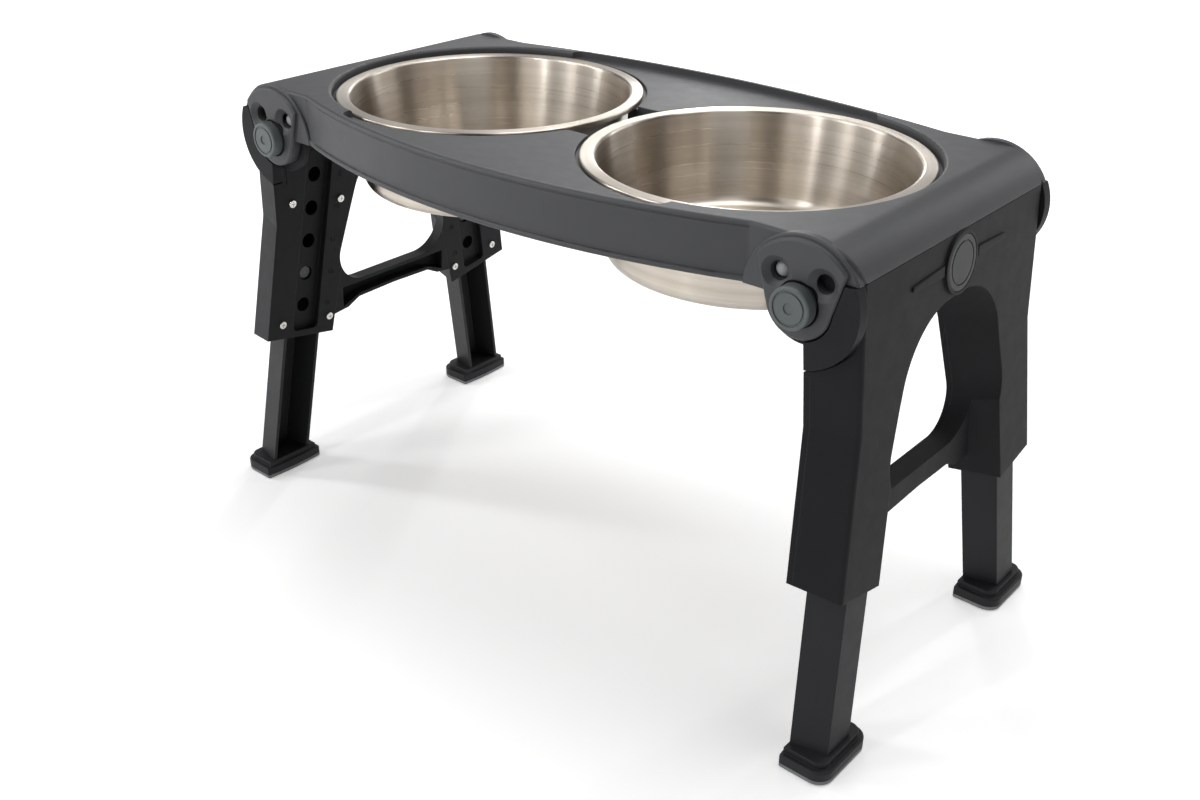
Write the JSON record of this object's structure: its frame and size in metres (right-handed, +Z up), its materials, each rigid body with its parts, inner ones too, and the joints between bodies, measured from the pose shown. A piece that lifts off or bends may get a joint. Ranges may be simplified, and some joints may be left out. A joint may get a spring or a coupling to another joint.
{
  "type": "adjustable pet feeder",
  "caption": "Raised pet feeder with lift-out steel bowls in a dark plastic tray, on fold-in leg frames with telescoping splayed legs.",
  "frame": {"origin": "on the floor below the middle of the stand", "axes": "+X along the tray to its right end, +Y to the rear, +Z up"},
  "size_m": [0.538, 0.2698, 0.311],
  "materials": {
    "body_plastic": "fine grained",
    "leg_plastic": "satin moulded",
    "bowl_steel": "brushed round the bowl",
    "button_plastic": "satin moulded",
    "peg_plastic": "satin moulded",
    "pad_rubber": "matt",
    "badge_plastic": "satin moulded",
    "screw_steel": "bright",
    "spring_steel": "plain wire"
  },
  "bodies": {
    "tray": {"tray": "body_plastic"},
    "left_bowl": {"left_bowl": "bowl_steel"},
    "right_bowl": {"right_bowl": "bowl_steel"},
    "left_frame": {"left_leg_frame": "body_plastic", "left_end_badge": "badge_plastic", "front_left_leg_cover": "body_plastic", "front_left_cover_screws": "screw_steel", "front_left_hinge_spring": "spring_steel", "rear_left_leg_cover": "body_plastic", "rear_left_cover_screws": "screw_steel", "rear_left_hinge_spring": "spring_steel"},
    "right_frame": {"right_leg_frame": "body_plastic", "right_end_badge": "badge_plastic", "front_right_leg_cover": "body_plastic", "front_right_cover_screws": "screw_steel", "front_right_hinge_spring": "spring_steel", "rear_right_leg_cover": "body_plastic", "rear_right_cover_screws": "screw_steel", "rear_right_hinge_spring": "spring_steel"},
    "front_left_leg": {"front_left_inner_leg": "leg_plastic", "front_left_foot_cap": "leg_plastic", "front_left_foot_pad": "pad_rubber", "front_left_height_spring": "spring_steel"},
    "front_left_height_button": {"front_left_height_button": "peg_plastic"},
    "front_left_hinge_button": {"front_left_hinge_button": "button_plastic"},
    "front_right_leg": {"front_right_inner_leg": "leg_plastic", "front_right_foot_cap": "leg_plastic", "front_right_foot_pad": "pad_rubber", "front_right_height_spring": "spring_steel"},
    "front_right_height_button": {"front_right_height_button": "peg_plastic"},
    "front_right_hinge_button": {"front_right_hinge_button": "button_plastic"},
    "rear_left_leg": {"rear_left_inner_leg": "leg_plastic", "rear_left_foot_cap": "leg_plastic", "rear_left_foot_pad": "pad_rubber", "rear_left_height_spring": "spring_steel"},
    "rear_left_height_button": {"rear_left_height_button": "peg_plastic"},
    "rear_left_hinge_button": {"rear_left_hinge_button": "button_plastic"},
    "rear_right_leg": {"rear_right_inner_leg": "leg_plastic", "rear_right_foot_cap": "leg_plastic", "rear_right_foot_pad": "pad_rubber", "rear_right_height_spring": "spring_steel"},
    "rear_right_height_button": {"rear_right_height_button": "peg_plastic"},
    "rear_right_hinge_button": {"rear_right_hinge_button": "button_plastic"}
  },
  "joints": [
    {"name": "left_bowl_lift", "type": "slide", "parent": "tray", "child": "left_bowl", "axis": [0, 0, 1], "range_m": [0, 0.09]},
    {"name": "left_frame_fold", "type": "hinge", "parent": "tray", "child": "left_frame", "pos_m": [-0.2125, 0, 0.275], "axis": [0, -1, 0], "range_deg": [0, 33]},
    {"name": "right_bowl_lift", "type": "slide", "parent": "tray", "child": "right_bowl", "axis": [0, 0, 1], "range_m": [0, 0.09]},
    {"name": "right_frame_fold", "type": "hinge", "parent": "tray", "child": "right_frame", "pos_m": [0.2125, 0, 0.275], "axis": [0, 1, 0], "range_deg": [0, 33]},
    {"name": "front_left_leg_slide", "type": "slide", "parent": "left_frame", "child": "front_left_leg", "axis": [0.0774, 0.1646, 0.9833], "range_m": [-0.0254, 0.0762]},
    {"name": "front_left_height_button_press", "type": "slide", "parent": "front_left_leg", "child": "front_left_height_button", "axis": [-0.9969, 0, 0.0785], "range_m": [0, 0.0035], "stiffness_N_per_m": 700, "springref_m": -0.003, "deforming": ["front_left_height_spring"]},
    {"name": "front_left_hinge_button_press", "type": "slide", "parent": "left_frame", "child": "front_left_hinge_button", "axis": [0, 1, 0], "range_m": [0, 0.0035], "stiffness_N_per_m": 800, "springref_m": -0.003, "deforming": ["front_left_hinge_spring"]},
    {"name": "front_right_leg_slide", "type": "slide", "parent": "right_frame", "child": "front_right_leg", "axis": [-0.0774, 0.1646, 0.9833], "range_m": [-0.0254, 0.0762]},
    {"name": "front_right_height_button_press", "type": "slide", "parent": "front_right_leg", "child": "front_right_height_button", "axis": [0.9969, 0, 0.0785], "range_m": [0, 0.0035], "stiffness_N_per_m": 700, "springref_m": -0.003, "deforming": ["front_right_height_spring"]},
    {"name": "front_right_hinge_button_press", "type": "slide", "parent": "right_frame", "child": "front_right_hinge_button", "axis": [0, 1, 0], "range_m": [0, 0.0035], "stiffness_N_per_m": 800, "springref_m": -0.003, "deforming": ["front_right_hinge_spring"]},
    {"name": "rear_left_leg_slide", "type": "slide", "parent": "left_frame", "child": "rear_left_leg", "axis": [0.0774, -0.1646, 0.9833], "range_m": [-0.0254, 0.0762]},
    {"name": "rear_left_height_button_press", "type": "slide", "parent": "rear_left_leg", "child": "rear_left_height_button", "axis": [-0.9969, 0, 0.0785], "range_m": [0, 0.0035], "stiffness_N_per_m": 700, "springref_m": -0.003, "deforming": ["rear_left_height_spring"]},
    {"name": "rear_left_hinge_button_press", "type": "slide", "parent": "left_frame", "child": "rear_left_hinge_button", "axis": [0, -1, 0], "range_m": [0, 0.0035], "stiffness_N_per_m": 800, "springref_m": -0.003, "deforming": ["rear_left_hinge_spring"]},
    {"name": "rear_right_leg_slide", "type": "slide", "parent": "right_frame", "child": "rear_right_leg", "axis": [-0.0774, -0.1646, 0.9833], "range_m": [-0.0254, 0.0762]},
    {"name": "rear_right_height_button_press", "type": "slide", "parent": "rear_right_leg", "child": "rear_right_height_button", "axis": [0.9969, 0, 0.0785], "range_m": [0, 0.0035], "stiffness_N_per_m": 700, "springref_m": -0.003, "deforming": ["rear_right_height_spring"]},
    {"name": "rear_right_hinge_button_press", "type": "slide", "parent": "right_frame", "child": "rear_right_hinge_button", "axis": [0, -1, 0], "range_m": [0, 0.0035], "stiffness_N_per_m": 800, "springref_m": -0.003, "deforming": ["rear_right_hinge_spring"]}
  ]
}
